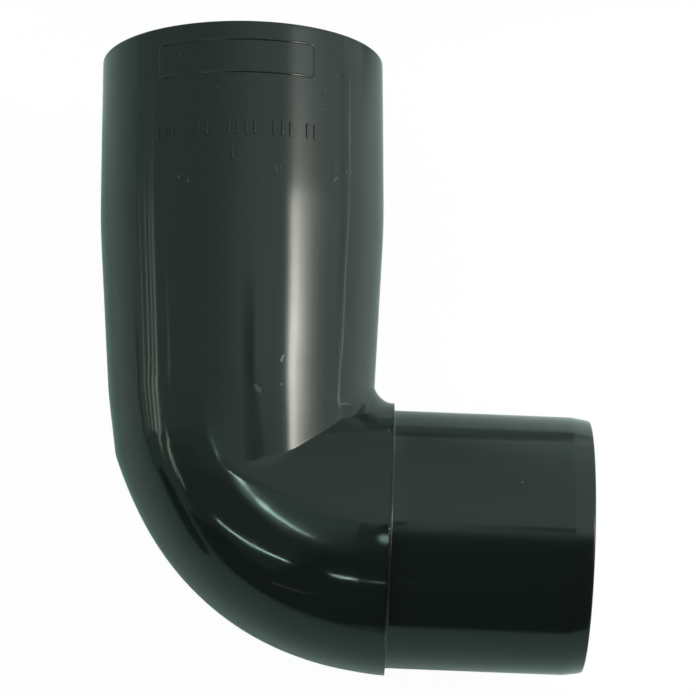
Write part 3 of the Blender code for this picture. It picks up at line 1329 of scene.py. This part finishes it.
@dataclass(frozen=True)
class PlasticFinish:
    """Dark gloss plastic with the skin of its mould, dust, hairlines and a few nicks."""

    name: str = "anthracite_plastic"
    colour: tuple[float, float, float, float] = (0.0096, 0.0116, 0.0101, 1.0)
    dust_colour: tuple[float, float, float, float] = (0.10, 0.115, 0.11, 1.0)
    roughness: float = 0.06
    refraction: float = 1.49
    bump_depth: float = 0.02 * MM
    skin_grain: float = 0.03
    skin_roughness: float = 0.05
    dust_share: float = 0.35
    dust_roughness: float = 0.3
    dust_height: float = 0.2
    hairline_roughness: float = 0.12
    hairline_height: float = -0.05
    marks: tuple[Mark, ...] = (
        Mark(20.0, -29.2, 2.3, 0.45, -14.0, MarkKind.SCUFF), Mark(20.0, -31.5, 2.1, 0.65, 33.0, MarkKind.NICK),
        Mark(22.3, -29.4, 1.0, 0.35, -10.0, MarkKind.SCUFF), Mark(4.4, -75.9, 2.6, 1.3, -34.0, MarkKind.NICK),
        Mark(9.4, -69.8, 1.8, 0.95, 18.0, MarkKind.NICK), Mark(-1.05, -26.4, 1.6, 0.28, 32.0, MarkKind.SCUFF),
        Mark(8.1, -31.0, 2.7, 0.3, -15.0, MarkKind.SCUFF), Mark(5.6, -33.3, 1.1, 0.3, 80.0, MarkKind.SCUFF),
        Mark(-11.8, -32.3, 0.8, 0.5), Mark(-9.8, -33.4, 0.7, 0.5), Mark(30.4, -83.4, 0.6, 0.5),
        Mark(56.9, -94.8, 0.5, 0.4, 40.0), Mark(49.4, -91.8, 0.5, 0.4, 0.0, MarkKind.PIT),
        Mark(1.1, -3.4, 1.5, 0.4, 60.0, MarkKind.PIT), Mark(-0.5, -11.5, 0.8, 0.6, 0.0, MarkKind.PIT),
        Mark(-3.8, -14.0, 0.7, 0.4, 0.0, MarkKind.SCUFF), Mark(6.4, -12.6, 5.0, 1.2, 80.0, MarkKind.SMEAR),
        Mark(17.8, -13.1, 0.8, 0.4, 0.0, MarkKind.SCUFF), Mark(17.2, -17.5, 0.9, 0.5, 50.0, MarkKind.SCUFF),
        Mark(20.3, -9.6, 0.9, 0.5, 0.0, MarkKind.SCUFF), Mark(-11.7, -6.4, 0.8, 0.5, 0.0, MarkKind.SCUFF),
    )

    @staticmethod
    def skin_group() -> bpy.types.NodeTree:
        """Make the group for the mould's own unevenness: a height and a change of roughness.

        Returns:
            The group.
        """
        inputs = {"Coordinates": "Vector", "Grain": "Float"}
        outputs = {"Height": "Float", "Roughness": "Float"}
        write, source, leave = new_group("Shader", "moulded_skin", inputs, outputs)
        place = source["Coordinates"]
        broad = write.noise(place, 55.0)
        drawn = write.noise(write.vector("MULTIPLY", place, (1.0, 0.03, 1.0)), 900.0)
        grain = write.noise(place, 2600.0, 1.0)
        height = write.math("ADD", write.math("MULTIPLY", broad, 0.6), write.math("MULTIPLY", drawn, 0.08))
        write.join(write.math("MULTIPLY_ADD", grain, source["Grain"], height), leave["Height"])
        streaks = write.math("MULTIPLY", drawn, 0.4)
        patchy = write.math("MULTIPLY_ADD", write.noise(place, 120.0), 0.6, streaks)
        write.join(write.step(patchy, 0.35, 0.75), leave["Roughness"])
        return write.tree

    @staticmethod
    def dust_group() -> bpy.types.NodeTree:
        """Make the group for scattered fine dust: a mask of small round specks.

        Returns:
            The group.
        """
        write, source, leave = new_group("Shader", "dust", {"Coordinates": "Vector"}, {"Mask": "Float"})
        cells = write.node("ShaderNodeTexVoronoi", {"Vector": source["Coordinates"], "Scale": 330.0})
        lot = write.node("ShaderNodeSeparateColor", {0: cells.outputs["Color"]}).outputs[0]
        chosen = write.step(lot, 0.90, 0.93)
        near = write.math("SUBTRACT", 1.0, write.step(cells.outputs["Distance"], 0.05, 0.11))
        patches = write.step(write.noise(source["Coordinates"], 40.0), 0.40, 0.60)
        write.join(write.math("MULTIPLY", write.math("MULTIPLY", near, chosen), patches), leave["Mask"])
        return write.tree

    @staticmethod
    def hairline_group() -> bpy.types.NodeTree:
        """Make the group for faint rubbed hairlines: a mask of thin wandering arcs.

        Returns:
            The group.
        """
        write, source, leave = new_group("Shader", "hairlines", {"Coordinates": "Vector"}, {"Mask": "Float"})
        total: object = 0.0
        for stretch, scale in (((1.0, 0.25, 1.0), 70.0), ((0.3, 1.0, 0.6), 60.0)):
            place = write.vector("MULTIPLY", source["Coordinates"], stretch)
            level = write.math("ABSOLUTE", write.math("SUBTRACT", write.noise(place, scale, 0.0), 0.5))
            line = write.math("SUBTRACT", 1.0, write.step(level, 0.0, 0.004))
            breaks = write.step(write.noise(source["Coordinates"], 190.0, 1.0), 0.55, 0.70)
            total = write.math("MULTIPLY_ADD", line, breaks, total)
        write.join(total, leave["Mask"])
        return write.tree

    @staticmethod
    def mark_group() -> bpy.types.NodeTree:
        """Make the group for one mark: an oval with a ragged edge, seen from above.

        Returns:
            The group.
        """
        inputs = {
            "Coordinates": "Vector", "Centre": "Vector", "Turn": "Float", "Size": "Vector",
            "Ragged": "Float",
        }
        write, source, leave = new_group("Shader", "mark", inputs, {"Mask": "Float"})
        spin = {"Vector": source["Coordinates"], "Center": source["Centre"], "Angle": source["Turn"]}
        turned = write.node("ShaderNodeVectorRotate", spin, rotation_type="Z_AXIS").outputs[0]
        offset = write.vector("MULTIPLY", write.vector("SUBTRACT", turned, source["Centre"]), (1.0, 1.0, 0.0))
        reach = write.vector("LENGTH", write.vector("DIVIDE", offset, source["Size"]))
        ragged = write.math("MULTIPLY_ADD", source["Ragged"], 0.9, write.math("SUBTRACT", reach, 0.45))
        write.join(write.math("SUBTRACT", 1.0, write.step(ragged, 0.55, 1.0)), leave["Mask"])
        return write.tree

    def build(self, layout: Layout) -> bpy.types.Material:
        """Build the material.

        Args:
            layout: Where the bend lies.

        Returns:
            The material.
        """
        material = bpy.data.materials.new(self.name)
        material.use_nodes = True
        nodes = material.node_tree.nodes
        write = NodeWriter(material.node_tree)
        place = write.node("ShaderNodeTexCoord").outputs["Object"]
        skin = write.group(self.skin_group(), Coordinates=place, Grain=self.skin_grain).outputs
        dust = write.group(self.dust_group(), Coordinates=place).outputs["Mask"]
        hairlines = write.group(self.hairline_group(), Coordinates=place).outputs["Mask"]
        colour = write.mix(write.math("MULTIPLY", dust, self.dust_share), self.colour, self.dust_colour)
        rough = write.math("MULTIPLY_ADD", skin["Roughness"], self.skin_roughness, self.roughness)
        rough = write.math("MULTIPLY_ADD", dust, self.dust_roughness, rough)
        rough = write.math("MULTIPLY_ADD", hairlines, self.hairline_roughness, rough)
        height = write.math("MULTIPLY_ADD", dust, self.dust_height, skin["Height"])
        height = write.math("MULTIPLY_ADD", hairlines, self.hairline_height, height)
        group = self.mark_group()
        ragged = write.noise(place, 1500.0, 1.0)
        upper = write.step(write.parts(place)[2], layout.mouth.z - MM, layout.mouth.z + MM)
        for mark in self.marks:
            centre = layout.mouth + Vector((mark.across, mark.along, 0.0)) * MM
            size = (mark.width / 2 * MM, mark.length / 2 * MM, 1.0)
            values = {"Centre": tuple(centre), "Turn": math.radians(mark.turn), "Size": size, "Ragged": ragged}
            spot = write.group(group, Coordinates=place, **values).outputs["Mask"]
            mask = write.math("MULTIPLY", spot, upper)
            shade, share, dull, rise = mark.kind.value
            paint = tuple(part * shade * 2.0 for part in self.dust_colour[:3]) + (1.0,)
            colour = write.mix(write.math("MULTIPLY", mask, share), colour, paint)
            rough = write.math("MULTIPLY_ADD", mask, dull, rough)
            height = write.math("MULTIPLY_ADD", mask, rise, height)
        bump = write.node("ShaderNodeBump", {"Height": height, "Distance": self.bump_depth}).outputs["Normal"]
        looks = {"Base Color": colour, "Roughness": rough, "IOR": self.refraction, "Normal": bump}
        for label, value in looks.items():
            write.join(value, nodes["Principled BSDF"].inputs[label])
        return material


def main() -> None:
    """Build the scene."""
    logging.basicConfig(level=logging.INFO, format="%(message)s")
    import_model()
    layout = Layout()
    ViewPoint().build(layout)
    plastic = PlasticFinish().build(layout)
    shell = BendShell(layout).build()
    shell.data.materials.append(plastic)
    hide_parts(NODE)
    for piece in (shell, RaisedFrame(layout).build(plastic), TickRow(layout).build(plastic)):
        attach(piece, BODY)
        LOG.info("%s: %d faces", piece.name, len(piece.data.polygons))
    Studio(layout).build()


if __name__ == "__main__":
    main()
